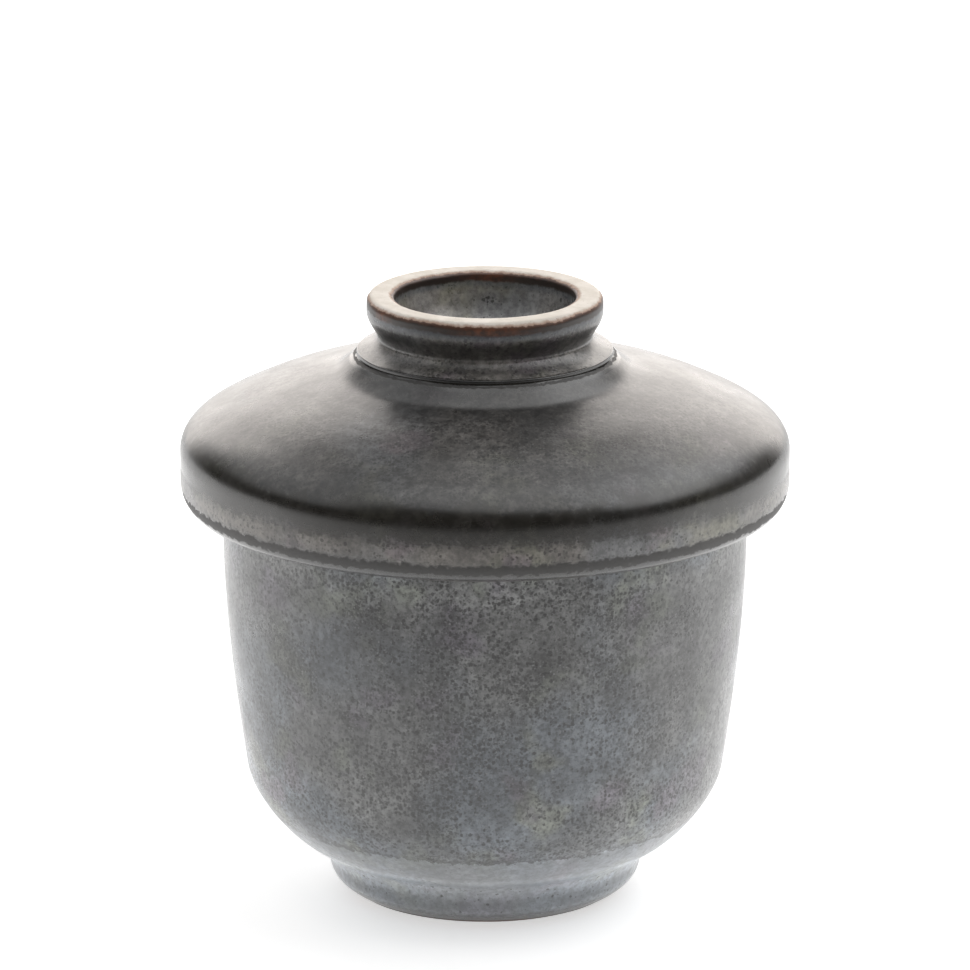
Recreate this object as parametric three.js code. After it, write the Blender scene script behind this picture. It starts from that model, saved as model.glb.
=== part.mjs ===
// A lidded stoneware cup: a tapered cup on a turned ring foot, and a domed cap lid whose skirt hangs
// round the cup's rim. The lid's ring knob is a foot of its own, so the lid turns over into a dish.
// Millimetres and degrees, +Z up. The origin is the centre of the ring that the cup stands on.
// Radii are outside radii unless a comment says otherwise. A slope is the direction in which an
// outline runs: 0 is outward, 90 is up and 180 is inward.
import * as THREE from "three";

// Ring foot of the cup
const RECESS_R = 15.3; // turned recess inside the foot
const RECESS_Z = 4.9;
const RECESS_FILLET = 1.2;
const STAND_R = [16.4, 18.4]; // flat ring that it stands on, bare of glaze
const FOOT_R = 24;
const FOOT_SIDE_Z = 4.3; // the foot rolls in from here down to the flat ring
const FOOT_SLOPE = [13, 82]; // slopes at the foot and the head of that roll
const FOOT_TOP = [27, 8.4]; // a hollow round joins the foot's side to the belly here

// Cup
const BELLY_SLOPE = 22;
const BELLY_PULL = 0.265;
const HIP_R = 36.65; // where the belly turns up into the wall
const HIP_Z = 20.4;
const HIP_SLOPE = 81.5;
const RIM_R = 39.8;
const RIM_Z = 73; // flat crest of the rim
const RIM_ROUND = 1.2;
const RIM_SLOPE = 93; // the wall closes in a little towards the rim
const CUP_WALL = 3.8;
const FLOOR_R = 18; // flat middle of the inside floor
const FLOOR_Z = 9.6;

// Underside of the lid
const CEILING_R = 9; // flat middle, under the well of the knob
const CEILING_Z = 81.7;
const SEAT_R = [36.2, 40]; // flat seat that lies on the cup's rim
const SEAT_GAP = 0.1; // an unground lid rides this far off the rim
const SEAT_SLOPE = -27; // the hollow runs out and down to the seat
const SKIRT_CORNER = 2;

// Outside of the lid
const LID_R = 46.5;
const LID_WALL = 4.1;
const SKIRT_Z = 61.9;
const SKIRT_ROUND = 1.5;
const SKIRT_HEEL = [2.4, 3.7]; // long round of the skirt's outer corner, across and up
const BAND_Z = 70.1; // top of the upright band
const SHOULDER_R = 38.5;
const SHOULDER_Z = 77.35;
const SHOULDER_SLOPE = 154;
const SWEEP_R = 23.5; // foot of the hollow sweep that rises to the knob
const SWEEP_Z = 82.2;
const SWEEP_SLOPE = 164;
const LEDGE_R = 19.5; // small square ledge that the knob's foot stands on
const LEDGE_Z = [85.1, 85.7];
const LEDGE_SLOPE = 148;

// Ring knob
const FLARE_SLOPE = [158, 120]; // its foot narrows from the ledge to the waist
const WAIST_R = 16.3;
const WAIST_Z = 87.8;
const WAIST_SLOPE = 72; // the side flares out above the waist
const KNOB_R = 18;
const KNOB_LIP_Z = 91.8;
const KNOB_TOP_Z = 94.2;
const CREST_R = [14.9, 17]; // flat crest, bare of glaze, for standing on when turned over
const BORE_R = 13.8;
const BORE_LIP_Z = 93.2;
const WELL_R = 9; // flat floor of the well inside the ring
const WELL_Z = 85.9;

const GLAZE = { color: 0x55585a, roughness: 0.38, metalness: 0.05 };
const AROUND = 72; // segments round the axis
const SMOOTH = 4; // divisions of each curve in an outline

// Runs an outline on to (r, z), leaving at one slope and arriving at another.
function flow(outline, leaves, r, z, arrives, pull = 0.36) {
  const start = outline.currentPoint.clone();
  const end = new THREE.Vector2(r, z);
  const reach = pull * start.distanceTo(end);
  const along = (slope) => new THREE.Vector2(reach, 0).rotateAround(new THREE.Vector2(), slope);
  const out = start.add(along(THREE.MathUtils.degToRad(leaves)));
  const into = end.clone().sub(along(THREE.MathUtils.degToRad(arrives)));
  outline.bezierCurveTo(out.x, out.y, into.x, into.y, r, z);
}

// Underside of the cup, from the middle of the recess out to the foot's side.
function ringFoot(outline) {
  outline.moveTo(0, RECESS_Z);
  outline.lineTo(RECESS_R - RECESS_FILLET, RECESS_Z);
  flow(outline, 0, RECESS_R, RECESS_Z - RECESS_FILLET, -90);
  outline.lineTo(STAND_R[0], 0);
  outline.lineTo(STAND_R[1], 0);
  flow(outline, FOOT_SLOPE[0], FOOT_R, FOOT_SIDE_Z, FOOT_SLOPE[1]);
  flow(outline, FOOT_SLOPE[1], ...FOOT_TOP, BELLY_SLOPE);
}

function cupOutside(outline) {
  flow(outline, BELLY_SLOPE, HIP_R, HIP_Z, HIP_SLOPE, BELLY_PULL);
  flow(outline, HIP_SLOPE, RIM_R, RIM_Z - RIM_ROUND, RIM_SLOPE);
}

function cupRim(outline) {
  const insideR = RIM_R - CUP_WALL;
  flow(outline, 90, RIM_R - RIM_ROUND, RIM_Z, 180);
  outline.lineTo(insideR + RIM_ROUND, RIM_Z);
  flow(outline, 180, insideR, RIM_Z - RIM_ROUND, -90);
}

// The inside follows the outside at a wall's thickness, down to a flat floor.
function cupInside(outline) {
  flow(outline, RIM_SLOPE + 180, HIP_R - CUP_WALL, HIP_Z, HIP_SLOPE + 180);
  flow(outline, HIP_SLOPE + 180, FLOOR_R, FLOOR_Z, 180);
  outline.lineTo(0, FLOOR_Z);
}

// Underside of the lid, from the middle out to its seat.
function lidHollow(outline) {
  outline.moveTo(0, CEILING_Z);
  outline.lineTo(CEILING_R, CEILING_Z);
  flow(outline, 0, SEAT_R[0], RIM_Z + SEAT_GAP, SEAT_SLOPE);
  outline.lineTo(SEAT_R[1], RIM_Z + SEAT_GAP);
}

// The skirt hangs clear of the cup's wall, with room for a rim that isn't quite round.
function lidSkirt(outline) {
  const insideR = LID_R - LID_WALL;
  flow(outline, 0, insideR, RIM_Z + SEAT_GAP - SKIRT_CORNER, -90);
  outline.lineTo(insideR, SKIRT_Z + SKIRT_ROUND);
  flow(outline, -90, insideR + SKIRT_ROUND, SKIRT_Z, 0);
  outline.lineTo(LID_R - SKIRT_HEEL[0], SKIRT_Z);
  flow(outline, 0, LID_R, SKIRT_Z + SKIRT_HEEL[1], 90);
}

// The upright band, the round shoulder, the dome and the hollow sweep up to the ledge.
function lidOutside(outline) {
  outline.lineTo(LID_R, BAND_Z);
  flow(outline, 90, SHOULDER_R, SHOULDER_Z, SHOULDER_SLOPE);
  flow(outline, SHOULDER_SLOPE, SWEEP_R, SWEEP_Z, SWEEP_SLOPE);
  flow(outline, SWEEP_SLOPE, LEDGE_R, LEDGE_Z[0], LEDGE_SLOPE);
  outline.lineTo(LEDGE_R, LEDGE_Z[1]);
}

function ringKnob(outline) {
  flow(outline, FLARE_SLOPE[0], WAIST_R, WAIST_Z, FLARE_SLOPE[1]);
  flow(outline, WAIST_SLOPE, KNOB_R, KNOB_LIP_Z, 90);
  flow(outline, 90, CREST_R[1], KNOB_TOP_Z, 180);
  outline.lineTo(CREST_R[0], KNOB_TOP_Z);
  flow(outline, 180, BORE_R, BORE_LIP_Z, -90);
  flow(outline, -90, WELL_R, WELL_Z, 180);
  outline.lineTo(0, WELL_Z);
}

// Turns an outline, built up by its sections from the axis below to the axis above, round +Z.
function turned(name, sections) {
  const outline = new THREE.Path();
  sections.forEach((section) => section(outline));
  const geometry = new THREE.LatheGeometry(outline.getPoints(SMOOTH), AROUND);
  geometry.rotateX(Math.PI / 2);
  const mesh = new THREE.Mesh(geometry, new THREE.MeshStandardMaterial(GLAZE));
  mesh.name = name;
  return mesh;
}

const liddedCup = new THREE.Group();
liddedCup.add(
  turned("cup", [ringFoot, cupOutside, cupRim, cupInside]),
  turned("lid", [lidHollow, lidSkirt, lidOutside, ringKnob]),
);

export default liddedCup;
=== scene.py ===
"""Looks of the lidded stoneware cup: a satin, iron-speckled grey glaze over cream clay, which stays bare
on the knob's crest and under the foot. Sizes are in millimetres until a mesh is made, which is in metres.
An outline is a list of (radius, height) points from the axis below to the axis above. A slope is the
direction in which it runs: 0 is outward, 90 is up and 180 is inward."""
import math
from types import SimpleNamespace

import bpy
import numpy as np
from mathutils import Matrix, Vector


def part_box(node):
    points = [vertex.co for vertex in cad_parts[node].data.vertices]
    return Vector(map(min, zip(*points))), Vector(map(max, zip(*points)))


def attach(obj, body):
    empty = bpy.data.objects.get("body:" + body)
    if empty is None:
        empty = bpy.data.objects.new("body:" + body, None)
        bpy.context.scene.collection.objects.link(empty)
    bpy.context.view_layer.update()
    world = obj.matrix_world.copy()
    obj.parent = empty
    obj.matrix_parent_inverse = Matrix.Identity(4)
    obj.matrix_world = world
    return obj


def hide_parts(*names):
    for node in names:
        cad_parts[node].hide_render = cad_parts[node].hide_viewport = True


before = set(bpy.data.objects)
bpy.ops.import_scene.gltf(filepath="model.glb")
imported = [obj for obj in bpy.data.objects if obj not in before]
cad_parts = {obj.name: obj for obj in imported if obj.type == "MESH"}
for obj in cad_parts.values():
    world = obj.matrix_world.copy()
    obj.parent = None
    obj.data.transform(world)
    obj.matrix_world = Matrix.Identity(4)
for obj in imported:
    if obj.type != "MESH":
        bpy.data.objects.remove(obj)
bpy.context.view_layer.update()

MM = 0.001

# Outer sizes, from the frame
RIM_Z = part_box("cup")[1].z / MM
LID_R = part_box("lid")[1].x / MM
SKIRT_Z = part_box("lid")[0].z / MM
KNOB_TOP_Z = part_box("lid")[1].z / MM

# Ring foot and cup
RECESS_R, RECESS_Z, RECESS_FILLET = 15.3, 4.9, 1.2
STAND_R = (16.4, 18.4)
FOOT_R, FOOT_SIDE_Z, FOOT_SLOPE = 24, 4.3, (13, 82)
FOOT_TOP = (27, 8.4)
BELLY_SLOPE, BELLY_PULL = 22, 0.265
HIP_R, HIP_Z, HIP_SLOPE = 36.65, 20.4, 81.5
RIM_R, RIM_ROUND, RIM_SLOPE = 39.8, 1.2, 93
CUP_WALL, FLOOR_R, FLOOR_Z = 3.8, 18, 9.6

# Lid
CEILING_R, CEILING_Z = 9, 81.7
SEAT_R, SEAT_GAP, SEAT_SLOPE = (36.2, 40), 0.1, -27
SKIRT_CORNER, SKIRT_ROUND, LID_WALL = 2, 1.5, 4.1
SKIRT_HEEL = (2.4, 3.7)
BAND_Z = 70.1
SHOULDER_R, SHOULDER_Z, SHOULDER_SLOPE = 38.5, 77.35, 154
SWEEP_R, SWEEP_Z, SWEEP_SLOPE = 23.5, 82.2, 164
LEDGE_R, LEDGE_Z, LEDGE_SLOPE = 19.5, (85.1, 85.7), 148
LEDGE_ROUND = 0.15

# Ring knob
FLARE_SLOPE = (158, 120)
WAIST_R, WAIST_Z, WAIST_SLOPE = 16.3, 87.8, 72
KNOB_R, KNOB_LIP_Z = 18, 91.8
CREST_R = (14.9, 17)
BORE_R, BORE_LIP_Z = 13.8, 93.2
WELL_R, WELL_Z = 9, 85.9

# Steps of the mesh: the longest along an outline, the fewest in a curve, and the number round the axis
STEP, CURVE_STEPS, AROUND = 0.45, 10, 360

# Relief that the solids don't have: turning rings, and the rolled edge of the glaze
RING_DEPTH, RING_PITCH = 0.004, 2.9
BEAD_HEIGHT, BEAD_PLACE, BEAD_WIDTH = 0.10, 0.35, 0.45
RELIEF_R = 5  # it fades out from here to the axis

# Where the glaze stops, as heights on the outline, and how far that line and the dip's waver
FOOT_GLAZE_Z = 0.45
CREST_GLAZE_Z = (93.55, 94.0)
# the second dip's paler glaze is partly the glaze's own and partly a painted reflection of the bright table
DIP_Z = 14.5  # the cup's foot is dipped a second time up to here
EDGE_WAVER, DIP_WAVER = 0.22, 0.2
UNDIPPED = -9.0  # where the dip would end on a piece without one

# Edges that the glaze draws back from, with painted shade at the ledge and a darker roll of the foot:
# radius, height and reach to each side
THIN_AND_SHADED_EDGES = {
    "cup": (
        (RIM_R, RIM_Z, 1.4),
        (RIM_R - CUP_WALL, RIM_Z, 1.4),
        (STAND_R[1], 0, 1.5),
        # darker round the roll of the foot, next to the table
        (FOOT_R - 1.8, 1.5, 1.0),  # roll of the foot
    ),
    "lid": (
        (LID_R, BAND_Z + 0.8, 3.2),  # shoulder
        # painted shade: the dark line under the ledge
        (LEDGE_R, LEDGE_Z[0], 0.4),
    ),
}
# Edges where it dries to a dark, dull line, with painted shade at the foot of the ledge, likewise
DRY_AND_SHADED_EDGES = {
    "cup": ((STAND_R[1], 0, 1.0),),
    "lid": (
        (LID_R - 0.2, SKIRT_Z + 2.1, 1.1),  # heel of the skirt
        # painted shade: a dark, dull line on the sweep just below the ledge
        (LEDGE_R + 0.4, LEDGE_Z[0] - 0.2, 0.4),  # foot of the ledge
    ),
}
# Hollows that the glaze pools in, likewise
POOLS = {
    "cup": ((0, FLOOR_Z, 16),),
    "lid": (
        (WELL_R + 0.5, WELL_Z + 0.4, 4),
        (WELL_R + 2.9, WELL_Z + 2.5, 3.2),
        (BORE_R - 1.2, BORE_LIP_Z - 2.4, 2.4),
        (LID_R - 1.2, SKIRT_Z + 4.3, 1.9),  # over the heel of the skirt
    ),
}
# How pale the glaze is at some heights, and between them; at some of them the paleness is painted light or
# painted shade, as marked. The second dip has a paler scale of its own, partly a painted reflection of the
# bright table.
PALE_AND_PAINTED_LIGHT = {
    "cup": (
        # darker at the bottom of the foot's roll, next to the table
        *((2.4, 0), (2.9, 0.6), (4, 0.4), (5, 0.45)),  # foot
        # painted reflection: the hollow above the foot and the belly are pale partly as glaze, partly as a
        # painted reflection of the bright table
        *((6, 1), (9.5, 1)),  # hollow round above it
        *((10.6, 0.4), (14.3, 0.4), (15.2, 1), (17, 0.93), (22, 0.86)),  # belly
        *((28, 0.62), (42, 0.46), (54, 0.46), (58, 0.85)),  # wall
    ),
    "lid": (
        # painted highlight: the paler underside of the heel at 62.2
        *((62.2, 0.25), (62.7, -0.1), (64.4, -0.1), (64.8, 0), (65.2, 0.12)),  # heel of the skirt
        *((67.2, 0.12), (68.2, 0.03), (70.4, 0.05)),  # band
        *((76, 0.12), (78.5, 0.2), (80.5, 0.18), (82.5, 0.08)),  # shoulder and dome
        # painted shade: darker on the sweep just below the ledge and on the ledge's riser
        *((84, 0.1), (84.8, -0.1), (85.65, -0.1)),  # sweep and ledge
        # painted light and shade: paler on the flare, which faces up, and darker from 87.95 to 90.2 on the
        # knob's undercut band, which faces down
        *((85.85, 0.5), (86, 0.48), (86.4, 0.28), (87.1, 0.33), (87.65, 0.8)),  # foot of the knob
        # the paler band from 91.1 to 91.7 is partly pooled glaze and partly a painted highlight
        *((87.95, 0.1), (90.2, 0.1), (91.1, 0.38), (91.7, 0.4), (92.2, 0.1)),  # knob
    ),
}
# How strong the glaze's grain is, and how warm its pale parts are
GRAIN = {"cup": 0.64, "lid": 0.45}
WARMTH = {"cup": -4, "lid": 1}
# Where the iron at the knob's glaze edge turns orange: an azimuth from +X and a half width, in degrees
ORANGE = ((-87, 17), (88, 14), (-150, 6))

# Light, where 1 makes a white surface white. A panel has a heading from the back round to the right, half
# its width, its lower and its upper edge, in degrees, and a level.
BACK_PANEL = (0, 32, -10, 39, 2.9)
BACK_TINT = (1.0, 0.945, 0.90, 1)
PANELS = (BACK_PANEL, (76, 46, 30, 68, 2.3), (-75, 46, 28, 66, 0.9))
PANEL_EDGE = 8
TOP_HEADING, TOP_TILT, TOP_SPREAD, TOP_LIGHT = 110, 7, 30, 1.35
FILL_LIGHT = 0.05
UNDER_LIGHT = 0.7  # from below, where it gets through the table to the foot's underside alone
UNDER_RISE = (-20, -40)  # rises over which the fill light gives way to it

# Table, with its radius in metres. Its reflection has a glow that fades to the front and outward: from one
# place to another, in mm from the axis, and from one level to another.
TABLE_M, TABLE_SIDES = 4, 96
TABLE_PAINT, TABLE_DARK = (0.8, 0.8, 0.8, 1), (0.1, 0.1, 0.1, 1)
TABLE_SEEN = 0.6
GLOW_AHEAD = (20, 190, 1.0, 0.1)
GLOW_AROUND = (200, 320, 1.0, 0.72)
TABLE_END = (160, 400)  # mm in front of the cup, where its reflection fades into the dark
UNDER_FOOT = (18, 24)  # mm from the axis, where the table comes out of the foot's shade

# Camera: its distance in metres, its rise in degrees and the height that it aims at
CAMERA_M, CAMERA_RISE, AIM_Z = 1.1, 16, 64
LID_PIXELS, PHOTO_PIXELS = 608.5, 970  # widths of the lid in the photograph and of the photograph


class Outline:
    """A pen that draws an outline in lines and smooth curves."""

    def __init__(self, r, z):
        self.points = [np.array([r, z], float)]

    def line(self, r, z):
        start, end = self.points[-1], np.array([r, z], float)
        steps = max(1, math.ceil(np.linalg.norm(end - start) / STEP))
        self.points += [start + (end - start) * i / steps for i in range(1, steps + 1)]

    def flow(self, leaves, r, z, arrives, pull=0.36):
        """A Bezier curve that leaves at one slope and arrives at another."""
        start, end = self.points[-1], np.array([r, z], float)
        span = np.linalg.norm(end - start)
        out, into = (
            pull * span * np.array([math.cos(math.radians(s)), math.sin(math.radians(s))])
            for s in (leaves, arrives)
        )
        steps = max(CURVE_STEPS, math.ceil(span / STEP))
        for t in np.arange(1, steps + 1) / steps:
            u = 1 - t
            curve = u**3 * start + 3 * u * u * t * (start + out) + 3 * u * t * t * (end - into)
            self.points.append(curve + t**3 * end)


def cup_outline():
    pen = Outline(0, RECESS_Z)
    pen.line(RECESS_R - RECESS_FILLET, RECESS_Z)
    pen.flow(0, RECESS_R, RECESS_Z - RECESS_FILLET, -90)
    pen.line(STAND_R[0], 0)
    pen.line(STAND_R[1], 0)
    pen.flow(FOOT_SLOPE[0], FOOT_R, FOOT_SIDE_Z, FOOT_SLOPE[1])
    pen.flow(FOOT_SLOPE[1], *FOOT_TOP, BELLY_SLOPE)
    pen.flow(BELLY_SLOPE, HIP_R, HIP_Z, HIP_SLOPE, BELLY_PULL)
    pen.flow(HIP_SLOPE, RIM_R, RIM_Z - RIM_ROUND, RIM_SLOPE)
    inside_r = RIM_R - CUP_WALL
    pen.flow(90, RIM_R - RIM_ROUND, RIM_Z, 180)
    pen.line(inside_r + RIM_ROUND, RIM_Z)
    pen.flow(180, inside_r, RIM_Z - RIM_ROUND, -90)
    pen.flow(RIM_SLOPE + 180, HIP_R - CUP_WALL, HIP_Z, HIP_SLOPE + 180)
    pen.flow(HIP_SLOPE + 180, FLOOR_R, FLOOR_Z, 180)
    pen.line(0, FLOOR_Z)
    return np.array(pen.points)


def lid_outline():
    seat_z, inside_r = RIM_Z + SEAT_GAP, LID_R - LID_WALL
    pen = Outline(0, CEILING_Z)
    pen.line(CEILING_R, CEILING_Z)
    pen.flow(0, SEAT_R[0], seat_z, SEAT_SLOPE)
    pen.line(SEAT_R[1], seat_z)
    pen.flow(0, inside_r, seat_z - SKIRT_CORNER, -90)
    pen.line(inside_r, SKIRT_Z + SKIRT_ROUND)
    pen.flow(-90, inside_r + SKIRT_ROUND, SKIRT_Z, 0)
    pen.line(LID_R - SKIRT_HEEL[0], SKIRT_Z)
    pen.flow(0, LID_R, SKIRT_Z + SKIRT_HEEL[1], 90)
    pen.line(LID_R, BAND_Z)
    pen.flow(90, SHOULDER_R, SHOULDER_Z, SHOULDER_SLOPE)
    pen.flow(SHOULDER_SLOPE, SWEEP_R, SWEEP_Z, SWEEP_SLOPE)
    pen.flow(SWEEP_SLOPE, LEDGE_R, LEDGE_Z[0], LEDGE_SLOPE)
    pen.line(LEDGE_R, LEDGE_Z[1] - LEDGE_ROUND)
    pen.flow(90, LEDGE_R - LEDGE_ROUND, LEDGE_Z[1], 180)
    pen.flow(FLARE_SLOPE[0], WAIST_R, WAIST_Z, FLARE_SLOPE[1])
    pen.flow(WAIST_SLOPE, KNOB_R, KNOB_LIP_Z, 90)
    pen.flow(90, CREST_R[1], KNOB_TOP_Z, 180)
    pen.line(CREST_R[0], KNOB_TOP_Z)
    pen.flow(180, BORE_R, BORE_LIP_Z, -90)
    pen.flow(-90, WELL_R, WELL_Z, 180)
    pen.line(0, WELL_Z)
    return np.array(pen.points)


def lengths(outline):
    """How far along the outline each point is."""
    return np.r_[0, np.cumsum(np.linalg.norm(np.diff(outline, axis=0), axis=1))]


def outward(outline):
    """The unit normal at each point."""
    run = np.gradient(outline, lengths(outline), axis=0)
    normal = np.c_[run[:, 1], -run[:, 0]]
    return normal / np.linalg.norm(normal, axis=1, keepdims=True)


def first_point(outline, after, test):
    """Index of the first point past the length after that passes the test."""
    along = lengths(outline)
    return next(i for i, p in enumerate(outline) if along[i] > after and test(*p))


def cup_bare(outline):
    """The bare clay of the cup: the ring that it stands on, from inside the recess to the foot's roll."""
    first = first_point(outline, RECESS_R, lambda r, z: z < RECESS_Z / 4)
    last = first_point(outline, RECESS_R + RECESS_Z, lambda r, z: r > STAND_R[1] and z > FOOT_GLAZE_Z)
    return first, last


def lid_bare(outline):
    """The bare clay of the lid: the crest of its knob."""
    along = lengths(outline)
    first = first_point(outline, along[-1] / 2, lambda r, z: z > CREST_GLAZE_Z[0])
    last = first_point(outline, along[first], lambda r, z: r < CREST_R[0] and z < CREST_GLAZE_Z[1])
    return first, last


def glazed_distance(outline, bare):
    """Distance in mm along the outline from the edge of the bare clay, less than 0 on the clay."""
    along = lengths(outline)
    first, last = (along[i] for i in bare)
    return np.maximum(first - along, along - last)


def dip_distance(outline):
    """Distance in mm along the outline from the top of the second dip, less than 0 outside it."""
    along = lengths(outline)
    dipped = (outline[:, 1] < DIP_Z) & (along < along[-1] / 2)
    top = along[dipped][-1] if dipped.any() else UNDIPPED
    return top - along


def wavy(angle, seed, size):
    """A slow, closed waver round the axis, of about +-size."""
    rng = np.random.default_rng(seed)
    wave = sum(
        math.pow(n, -0.6) * np.sin(n * angle + rng.uniform(0, 2 * math.pi)) for n in (2, 3, 5, 8, 13, 21)
    )
    return size * wave / 2


def nearness(outline, places):
    """1 at one of the places (radius, height and reach to each side), down to 0 away from them."""
    gaps = [np.hypot(outline[:, 0] - r, outline[:, 1] - z) / reach for r, z, reach in places]
    return np.exp(-(np.min(gaps, axis=0) ** 2))


def relief(outline, angle, edge):
    """Height in mm of the turning rings and of the bead along the glaze's edge, but for the end points."""
    along, r = lengths(outline)[1:-1, None], outline[1:-1, :1]
    rings = -RING_DEPTH * (1 + np.sin(2 * math.pi * along / RING_PITCH + angle))
    bead = BEAD_HEIGHT * np.exp(-(((edge - BEAD_PLACE) / BEAD_WIDTH) ** 2)) * (edge > 0)
    return (rings + bead) * np.clip(r / RELIEF_R, 0, 1)


def orange_around(angle):
    """How orange the iron is round the axis, from 0 to 1."""
    turns = [(np.degrees(angle) - middle + 180) % 360 - 180 for middle, _ in ORANGE]
    return np.max([np.exp(-((turn / half) ** 2)) for turn, (_, half) in zip(turns, ORANGE)], axis=0)


def faces_of(rings):
    """Faces of a turned mesh: a fan at each end, and quads between its rings."""
    first = 1 + np.arange(rings) * AROUND
    here = np.arange(AROUND)
    after = (here + 1) % AROUND
    top = 1 + rings * AROUND
    bottom_fan = [(0, 1 + b, 1 + a) for a, b in zip(here, after)]
    quads = [
        (low + a, low + b, low + AROUND + b, low + AROUND + a)
        for low in first[:-1]
        for a, b in zip(here, after)
    ]
    top_fan = [(first[-1] + a, first[-1] + b, top) for a, b in zip(here, after)]
    return [tuple(int(i) for i in face) for face in bottom_fan + quads + top_fan]


def turned(name, outline, bare, seed):
    """A mesh of the outline turned round +Z. Its attributes glaze_mm and dip_mm say how far each point is
    inside the glaze and the second dip. Thin, dry, pool, pale and orange say what the glaze is like;
    thin, dry and pale also carry painted shade and painted light at some places."""
    angle = np.arange(AROUND) * 2 * math.pi / AROUND
    ring, normal = outline[1:-1], outward(outline)[1:-1]
    edge = glazed_distance(outline, bare)[1:-1, None] + wavy(angle, seed, EDGE_WAVER)
    dipped = dip_distance(outline)[1:-1, None] + wavy(angle, seed, DIP_WAVER)
    height = relief(outline, angle, edge)
    r = ring[:, :1] + height * normal[:, :1]
    z = ring[:, 1:] + height * normal[:, 1:]
    sides = np.stack([r * np.cos(angle), r * np.sin(angle), z], axis=-1)
    points = np.vstack([[0, 0, outline[0, 1]], sides.reshape(-1, 3), [0, 0, outline[-1, 1]]])

    layers = {"glaze_mm": edge.ravel(), "dip_mm": dipped.ravel()}
    for key, places in (("thin", THIN_AND_SHADED_EDGES), ("dry", DRY_AND_SHADED_EDGES), ("pool", POOLS)):
        layers[key] = np.repeat(nearness(ring, places[name]), AROUND)
    layers["pale"] = np.repeat(np.interp(ring[:, 1], *zip(*PALE_AND_PAINTED_LIGHT[name])), AROUND)
    layers["orange"] = np.tile(orange_around(angle), len(ring))

    mesh = bpy.data.meshes.new(name)
    mesh.from_pydata(points * MM, [], faces_of(len(ring)))
    mesh.polygons.foreach_set("use_smooth", [True] * len(mesh.polygons))
    for key, values in layers.items():
        values = np.r_[values[0], values, values[-1]].astype(np.float32)
        mesh.attributes.new(key, "FLOAT", "POINT").data.foreach_set("value", values)
    piece = bpy.data.objects.new(name + "_glazed", mesh)
    bpy.context.scene.collection.objects.link(piece)
    return piece


class Graph:
    """Adds nodes to a material or a world. An input is a constant or another node's output."""

    def __init__(self, tree):
        self.tree = tree
        tree.nodes.clear()

    def add(self, kind, inputs=(), output=0, **settings):
        node = self.tree.nodes.new("ShaderNode" + kind)
        for key, value in settings.items():
            setattr(node, key, value)
        for key, value in dict(inputs).items():
            if isinstance(value, bpy.types.NodeSocket):
                self.tree.links.new(value, node.inputs[key])
            else:
                node.inputs[key].default_value = value
        return node.outputs[output] if node.outputs else node

    def math(self, operation, a, b=0.0, clamp=False):
        return self.add("Math", {0: a, 1: b}, operation=operation, use_clamp=clamp)

    def ease(self, value, low, high, out_low=0.0, out_high=1.0):
        """out_low below low, out_high above high, and a smooth step between."""
        inputs = {"Value": value, "From Min": low, "From Max": high, "To Min": out_low, "To Max": out_high}
        return self.add("MapRange", inputs, interpolation_type="SMOOTHSTEP")

    def noise(self, place, size, detail=2.0, rough=0.5, seed=0.0):
        """Noise with features of about size, in the units of place."""
        inputs = {"Vector": place, "W": seed, "Scale": 1 / size, "Detail": detail, "Roughness": rough}
        return self.add("TexNoise", inputs, noise_dimensions="4D")

    def mix(self, share, a, b):
        """A number between two others."""
        return self.add("Mix", {0: share, 2: a, 3: b}, data_type="FLOAT")

    def blend(self, share, a, b, mode="MIX"):
        """A colour between two others."""
        inputs = {"Factor": share, 6: a, 7: b}
        return self.add("Mix", inputs, output=2, data_type="RGBA", blend_type=mode)

    def times(self, colour, by):
        """A colour times another, or times a plain number's output."""
        if by.type == "VALUE":
            by = self.add("CombineColor", {0: by, 1: by, 2: by})
        return self.blend(1.0, colour, by, "MULTIPLY")

    def place_mm(self):
        """The place on the object that is drawn, in mm."""
        place = self.add("TexCoord", output=3)
        return self.add("VectorMath", {0: place, "Scale": 1 / MM}, operation="SCALE")

    def layer(self, name):
        """An attribute of the mesh."""
        return self.add("Attribute", output=2, attribute_name=name)


def grey(level, warmth=0.0, green=0.0):
    """A linear colour from an sRGB level of 0 to 255. Warmth above 0 leans to brown, below 0 to blue."""
    channels = (level + warmth, level + green, level - warmth)
    return (*(((c / 255 + 0.055) / 1.055) ** 2.4 for c in channels), 1)


# Greys of the glaze: its darkest and palest levels, the second dip's darkest and palest colours, which are
# pale partly as a painted reflection of the bright table, and others
GLAZE_LEVELS = (34, 145)
DIP_DARK, DIP_PALE_AND_REFLECTION, POOLED = grey(105, -3), grey(215, -6), grey(150, 2)
# the last is a paler blue-grey band a little inside the glaze's edge, partly pooled glaze and partly a
# painted highlight
CRYSTAL, PINHOLE, HALO_AND_HIGHLIGHT = grey(160, -1), grey(18, 2), grey(120, -10)
# Tints that the glaze drifts between
WHITE = (1, 1, 1, 1)
BLUISH, BROWNISH = (0.96, 1, 1.05, 1), (1.05, 1, 0.94, 1)
OLIVE, PLUM = (1.06, 1.055, 0.88, 1), (1.06, 0.93, 1.0, 1)
# Iron that shows through it, from dark to orange, and the clay. Its thin and dry darks also paint the shade
# at the knob's ledge.
THIN_IRON_AND_SHADE, DRY_IRON_AND_SHADE = (0.016, 0.013, 0.008, 1), (0.012, 0.01, 0.008, 1)
BURNT, RUST, RUST_END = (0.025, 0.013, 0.008, 1), (0.17, 0.05, 0.015, 1), (0.12, 0.045, 0.02, 1)
CLAY_DARK, CLAY_PALE = (0.75, 0.685, 0.60, 1), (0.86, 0.795, 0.72, 1)
CLAY_SPOT, CLAY_TOASTED = (0.30, 0.20, 0.13, 1), (0.42, 0.24, 0.16, 1)
DOT_SHIFT = (7.3, 3.1, 5.7)  # sets dots with different seeds apart


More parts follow.
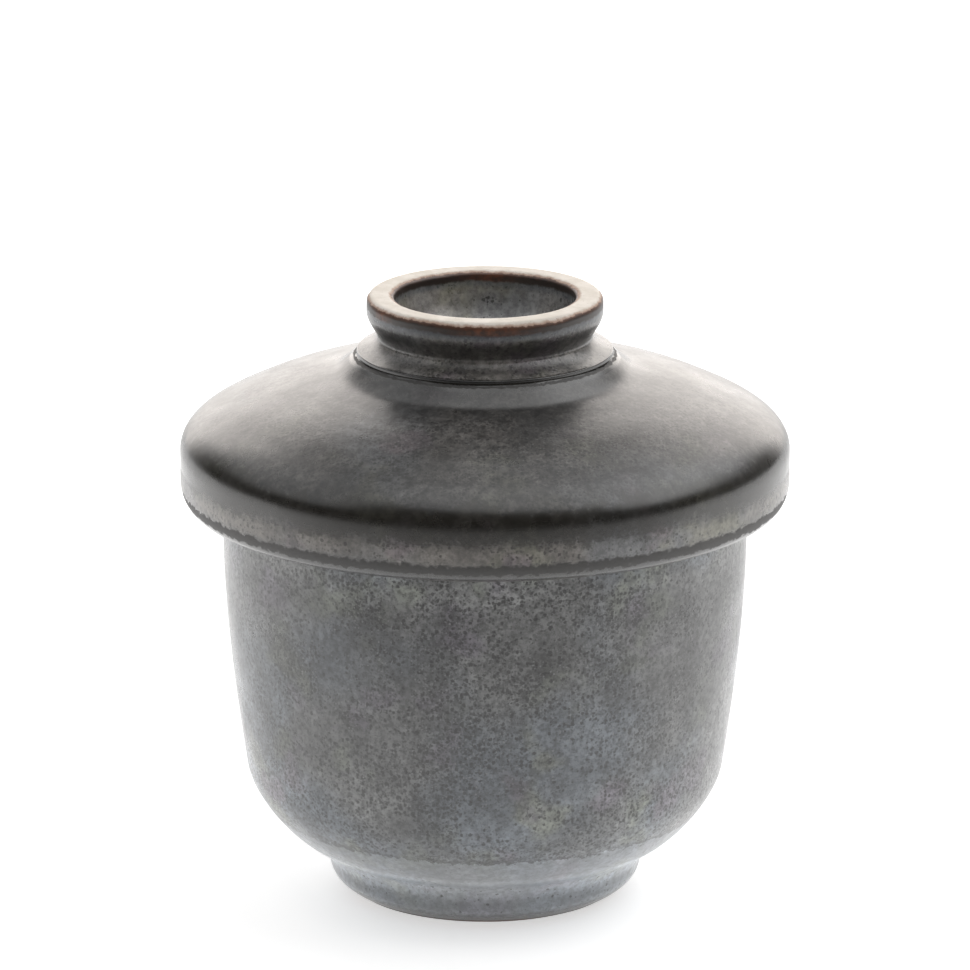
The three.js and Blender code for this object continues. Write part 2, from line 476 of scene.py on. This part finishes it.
def dots(g, place, spacing, radius, share, seed):
    """A mask of dots up to a radius across, in mm, in cells of which a share hold one."""
    place = g.add("VectorMath", {0: place, 1: [seed * step for step in DOT_SHIFT]}, operation="ADD")
    cell = g.add("TexVoronoi", {"Vector": place, "Scale": 1 / spacing}, feature="F1").node.outputs
    chance = g.math("SUBTRACT", share, g.add("SeparateColor", {0: cell["Color"]}))
    reach = g.ease(chance, 0.0, 0.4, 0.0, radius)
    wobble = g.ease(g.noise(place, 0.3, 2, 0.6), 0.3, 0.7, -0.3 * radius, 0.3 * radius)
    reach = g.math("ADD", g.math("SUBTRACT", reach, g.math("MULTIPLY", cell["Distance"], spacing)), wobble)
    return g.math("MULTIPLY", g.ease(reach, 0.0, 0.07), g.ease(chance, 0.0, 0.02))


def specks(g, place, plain):
    """Masks for the dark pinholes and the pale crystals, with none where the glaze is plain."""
    zone = g.ease(g.noise(place, 9, 3, 0.6, seed=21.0), 0.36, 0.6, 0.35, 1.0)
    zone = g.math("MULTIPLY", zone, g.math("SUBTRACT", 1.0, plain, clamp=True))
    large = dots(g, place, spacing=0.7, radius=0.33, share=g.math("MULTIPLY", zone, 0.95), seed=1)
    small = dots(g, place, spacing=0.45, radius=0.22, share=zone, seed=2)
    pale = dots(g, place, spacing=0.5, radius=0.18, share=g.math("MULTIPLY", zone, 0.85), seed=3)
    pale = g.math("MULTIPLY", pale, g.ease(g.layer("pale"), 0.0, 0.5, 0.0, 0.5))
    return g.math("MAXIMUM", large, g.math("MULTIPLY", small, 0.7)), pale


def glaze_states(g, place):
    """Where the glaze ends, and masks for what it is like near its edges, all of them ragged. The thin and
    dry masks also carry painted shade at the knob's ledge, and the halo a painted highlight.
    """
    fray = g.noise(place, 0.9, 3, 0.6, seed=6.0)
    patches = g.ease(g.noise(place, 6, 3, 0.6, seed=12.0), 0.3, 0.7, -0.3, 0.3)

    def frayed(value, by):
        return g.math("ADD", value, g.ease(fray, 0.25, 0.75, -by, by))

    inside = g.math("ADD", g.layer("glaze_mm"), g.ease(fray, 0.2, 0.8, -0.2, 0.2))
    dip = frayed(g.layer("dip_mm"), 0.8)
    dip_line = g.math("MULTIPLY", g.ease(dip, -0.9, -0.3), g.ease(dip, 0.3, 0.0))
    return SimpleNamespace(
        inside_mm=inside,
        glazed=g.ease(inside, -0.1, 0.1),
        burnt=g.ease(inside, 1.6, 1.1),
        halo=g.ease(inside, 2.6, 1.8),
        orange=g.math("MULTIPLY", g.layer("orange"), g.ease(fray, 0.25, 0.75, 0.1, 1.2)),
        dipped=g.ease(dip, -0.1, 0.15),
        dip_line=g.math("MULTIPLY", dip_line, g.ease(patches, -0.15, 0.1, 0.0, 0.7)),
        thin=g.ease(frayed(g.math("ADD", g.layer("thin"), patches), 0.25), 0.42, 0.6),
        dry=g.ease(frayed(g.layer("dry"), 0.3), 0.35, 0.7),
    )


def tinted(g, place, dipped):
    """A tint that drifts between blue, brown, olive and plum, and more to brown higher up."""
    height = g.add("SeparateXYZ", {0: place}, output=2)
    drift = g.math("ADD", g.noise(place, 26, 2, seed=3.0), g.ease(height, 10, 64, -0.06, 0.05))
    tint = g.blend(g.ease(drift, 0.4, 0.56), BLUISH, BROWNISH)
    tint = g.blend(g.ease(g.noise(place, 10, 3, seed=8.0), 0.54, 0.66), tint, OLIVE)
    tint = g.blend(g.ease(g.noise(place, 9, 3, seed=15.0), 0.56, 0.68), tint, PLUM)
    return g.blend(g.math("MULTIPLY", dipped, 0.6), tint, WHITE)


def glaze_colour(g, place, dipped, grain, warmth):
    """Tinted grey in clouds and in a fine grain, which are weaker where the glaze is thick."""
    fleck = g.ease(g.noise(place, 1.6, 3, 0.7, seed=18.0), 0.3, 0.7, -0.1, 0.1)
    # the pale layer also carries painted light and painted shade at some heights
    shade = g.math("ADD", g.layer("pale"), fleck)
    colour = g.blend(shade, grey(GLAZE_LEVELS[0]), grey(GLAZE_LEVELS[1], warmth))
    colour = g.blend(g.math("MULTIPLY", g.layer("pool"), 0.9), colour, POOLED)
    colour = g.blend(dipped, colour, g.blend(shade, DIP_DARK, DIP_PALE_AND_REFLECTION))
    clouds = g.ease(g.noise(place, 9, 5, 0.6, seed=4.0), 0.3, 0.7, 0.55, 1.45)
    mottle = g.ease(g.noise(place, 0.8, 3, 0.75, seed=17.0), 0.35, 0.65, 1 - 0.75 * grain, 1 + 0.75 * grain)
    mottle = g.math("MULTIPLY", clouds, mottle)
    thick = g.math("MAXIMUM", g.math("MULTIPLY", dipped, 0.5), g.math("MULTIPLY", g.layer("pool"), 0.2))
    return g.times(g.times(colour, tinted(g, place, dipped)), g.mix(thick, mottle, 1.0))


def iron_colour(g, colour, state):
    """The glaze's colour with the iron that shows at its edges: dark where it is thin or dry, and brown
    or orange where it ends. The same dark also paints the shade at the knob's ledge."""
    colour = g.blend(g.math("MULTIPLY", state.thin, 0.6), colour, THIN_IRON_AND_SHADE)
    colour = g.blend(g.math("MULTIPLY", state.dry, 0.9), colour, DRY_IRON_AND_SHADE)
    # painted highlight: a paler band a little inside the glaze's edge, partly pooled glaze
    colour = g.blend(g.math("MULTIPLY", state.halo, 0.3), colour, HALO_AND_HIGHLIGHT)
    rust = g.blend(state.orange, BURNT, RUST)
    rust = g.blend(g.ease(state.inside_mm, 0.6, 0.1, 0.0, 0.7), rust, RUST_END)
    return g.blend(state.burnt, colour, rust)


def clay_colour(g, place, inside_mm):
    """Cream clay, toasted next to the glaze."""
    cloud = g.ease(g.noise(place, 2.5, 4, 0.6, seed=5.0), 0.35, 0.65)
    clay = g.blend(cloud, CLAY_DARK, CLAY_PALE)
    clay = g.blend(g.ease(g.noise(place, 0.35, 2, 0.6, seed=7.0), 0.68, 0.74), clay, CLAY_SPOT)
    return g.blend(g.ease(inside_mm, -0.6, -0.05, 0.0, 0.8), clay, CLAY_TOASTED)


def sheen(g, place, state):
    """The roughness: satin on the glaze, duller where it is burnt or dry, and matt on the clay."""
    satin = g.ease(g.noise(place, 7, 3, 0.6, seed=11.0), 0.3, 0.7, 0.26, 0.34)
    satin = g.math("MULTIPLY", satin, g.ease(g.layer("pale"), 0.0, 0.08, 0.6, 1.0))
    dull = g.math("MAXIMUM", g.math("MULTIPLY", state.burnt, 0.45), g.math("MULTIPLY", state.dry, 0.6))
    return g.mix(state.glazed, 0.85, g.math("MAXIMUM", dull, satin))


def surface_normal(g, place, state, dark):
    """The normal: a slow ripple with pinholes in the glaze, and a fine tooth on the clay."""
    ripple = g.math("MULTIPLY", g.noise(place, 2.6, 1, 0.5, seed=9.0), 0.013)
    pinholes = g.math("MULTIPLY", dark, g.ease(g.layer("pale"), 0.0, 0.5, 0.0015, 0.016))
    tooth = g.math("MULTIPLY", g.noise(place, 0.16, 3, 0.7, seed=10.0), 0.015)
    height = g.mix(state.glazed, tooth, g.math("SUBTRACT", ripple, pinholes))
    return g.add("Bump", {"Strength": 1.0, "Distance": MM, "Height": height})


def stoneware(name, grain, warmth):
    """Glaze over clay, with pinholes, crystals and iron."""
    material = bpy.data.materials.new(name)
    material.use_nodes = True
    g = Graph(material.node_tree)
    place = g.place_mm()
    state = glaze_states(g, place)
    even = g.math("MULTIPLY", g.math("MAXIMUM", state.dipped, g.layer("pool")), 0.65)
    dark, pale = specks(g, place, g.math("MAXIMUM", state.thin, even))
    dark = g.math("MAXIMUM", dark, state.dip_line)
    colour = glaze_colour(g, place, state.dipped, grain, warmth)
    colour = g.blend(pale, colour, CRYSTAL)
    colour = g.blend(g.math("MULTIPLY", dark, 0.45 + 0.5 * grain), colour, PINHOLE)
    colour = iron_colour(g, colour, state)
    colour = g.blend(state.glazed, clay_colour(g, place, state.inside_mm), colour)
    surface = {"Base Color": colour, "Roughness": sheen(g, place, state), "IOR": 1.7}
    surface["Normal"] = surface_normal(g, place, state, dark)
    g.add("OutputMaterial", {"Surface": g.add("BsdfPrincipled", surface)})
    return material


def dress(name, outline, bare, seed):
    """Makes the fine mesh of one piece, which stands for the CAD node of the same name."""
    piece = turned(name, outline, bare, seed)
    piece.data.materials.append(stoneware(name + "_stoneware", GRAIN[name], WARMTH[name]))
    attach(piece, name)
    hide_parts(name)
    return piece


def toward(heading, rise):
    """The unit vector of a heading from the back round to the right and a rise, in degrees."""
    heading, rise = math.radians(heading), math.radians(rise)
    return (math.sin(heading) * math.cos(rise), math.cos(heading) * math.cos(rise), math.sin(rise))


def degrees_off(g, direction, unit):
    """The angle between a direction and a fixed unit vector, in degrees."""
    across = g.add("VectorMath", {0: direction, 1: unit}, output=1, operation="DOT_PRODUCT")
    return g.math("DEGREES", g.math("ARCCOSINE", across))


def panel(g, direction, rise, heading, half_width, low, high, level):
    """A softly edged, upright light panel, as seen in a direction from the object."""
    flat = g.add("VectorMath", {0: direction, 1: (1, 1, 0)}, operation="MULTIPLY")
    flat = g.add("VectorMath", {0: flat}, operation="NORMALIZE")
    aside = degrees_off(g, flat, toward(heading, 0))
    shown = g.ease(aside, half_width + PANEL_EDGE, half_width - PANEL_EDGE)
    shown = g.math("MULTIPLY", shown, g.ease(rise, low - PANEL_EDGE, low + PANEL_EDGE))
    return g.math("MULTIPLY", shown, g.ease(rise, high + PANEL_EDGE, high - PANEL_EDGE, 0.0, level))


def studio():
    """A dark room with a bright panel behind, softer ones at the sides and one overhead. The camera sees
    it white."""
    world = bpy.data.worlds.new("studio")
    bpy.context.scene.world = world
    world.use_nodes = True
    g = Graph(world.node_tree)
    direction = g.add("TexCoord", output=0)
    height = g.add("SeparateXYZ", {0: direction}, output=2)
    rise = g.math("DEGREES", g.math("ARCSINE", height))
    off_top = degrees_off(g, direction, toward(TOP_HEADING, 90 - TOP_TILT))
    level = g.ease(off_top, TOP_SPREAD + PANEL_EDGE, TOP_SPREAD - PANEL_EDGE, 0.0, TOP_LIGHT)
    lights = [panel(g, direction, rise, *sizes) for sizes in PANELS]
    for light in lights:
        level = g.math("MAXIMUM", level, light)
    level = g.math("ADD", level, g.ease(rise, *UNDER_RISE, FILL_LIGHT, UNDER_LIGHT))
    seen = g.add("LightPath").node.outputs["Is Camera Ray"]
    warm = g.math("MULTIPLY", g.math("SUBTRACT", 1.0, seen), g.ease(lights[0], 0.0, BACK_PANEL[-1]))
    backdrop = {"Color": g.blend(warm, WHITE, BACK_TINT), "Strength": g.mix(seen, level, 1.0)}
    g.add("OutputWorld", {"Surface": g.add("Background", backdrop)})


def table():
    """A round white table top that glows most round the cup, seen from above only. It keeps the shadow.
    It is open under the foot, whose recess and bare ring then show in views from below."""
    bpy.ops.mesh.primitive_circle_add(vertices=TABLE_SIDES, radius=TABLE_M, fill_type="NGON")
    top = bpy.context.object
    top.name = "table_top"
    material = bpy.data.materials.new("table_white")
    material.use_nodes = True
    g = Graph(material.node_tree)
    rays = g.add("LightPath").node.outputs
    place = g.place_mm()
    front = g.math("MULTIPLY", g.add("SeparateXYZ", {0: place}, output=1), -1.0)
    radius = g.add("VectorMath", {0: place}, output=1, operation="LENGTH")
    mirrored = g.math("MAXIMUM", rays["Is Glossy Ray"], rays["Is Transmission Ray"])
    ahead = g.math("MULTIPLY", mirrored, g.ease(front, *TABLE_END))
    for fade in (g.ease(front, *GLOW_AHEAD), g.ease(radius, *UNDER_FOOT), g.ease(radius, *GLOW_AROUND)):
        mirrored = g.math("MULTIPLY", mirrored, fade)
    glow = g.math("ADD", g.math("MULTIPLY", rays["Is Camera Ray"], TABLE_SEEN), mirrored)
    paint = g.add("BsdfDiffuse", {"Color": g.blend(ahead, TABLE_PAINT, TABLE_DARK)})
    lit = g.add("AddShader", {0: paint, 1: g.add("Emission", {"Color": WHITE, "Strength": glow})})
    below = g.add("NewGeometry", output=6)
    gone = g.math("MAXIMUM", below, g.math("LESS_THAN", radius, STAND_R[1]))
    clear = g.add("BsdfTransparent")
    g.add("OutputMaterial", {"Surface": g.add("MixShader", {0: gone, 1: lit, 2: clear})})
    top.data.materials.append(material)


def camera():
    """The photograph's view, in which the lid takes up as much of the width as in the photograph."""
    elevation = math.radians(CAMERA_RISE)
    aim = Vector((0, 0, AIM_Z * MM))
    data = bpy.data.cameras.new("camera")
    data.sensor_width = 36
    data.lens = LID_PIXELS / PHOTO_PIXELS * data.sensor_width * CAMERA_M / (2 * LID_R * MM)
    data.clip_start, data.clip_end = 0.05, 20
    camera_object = bpy.data.objects.new("camera", data)
    camera_object.location = aim + CAMERA_M * Vector((0, -math.cos(elevation), math.sin(elevation)))
    camera_object.rotation_euler = (math.pi / 2 - elevation, 0, 0)
    bpy.context.scene.collection.objects.link(camera_object)
    bpy.context.scene.camera = camera_object


camera()
studio()
table()
cup_line, lid_line = cup_outline(), lid_outline()
dress("cup", cup_line, cup_bare(cup_line), seed=1)
dress("lid", lid_line, lid_bare(lid_line), seed=2)
bpy.context.scene.view_settings.view_transform = "Standard"
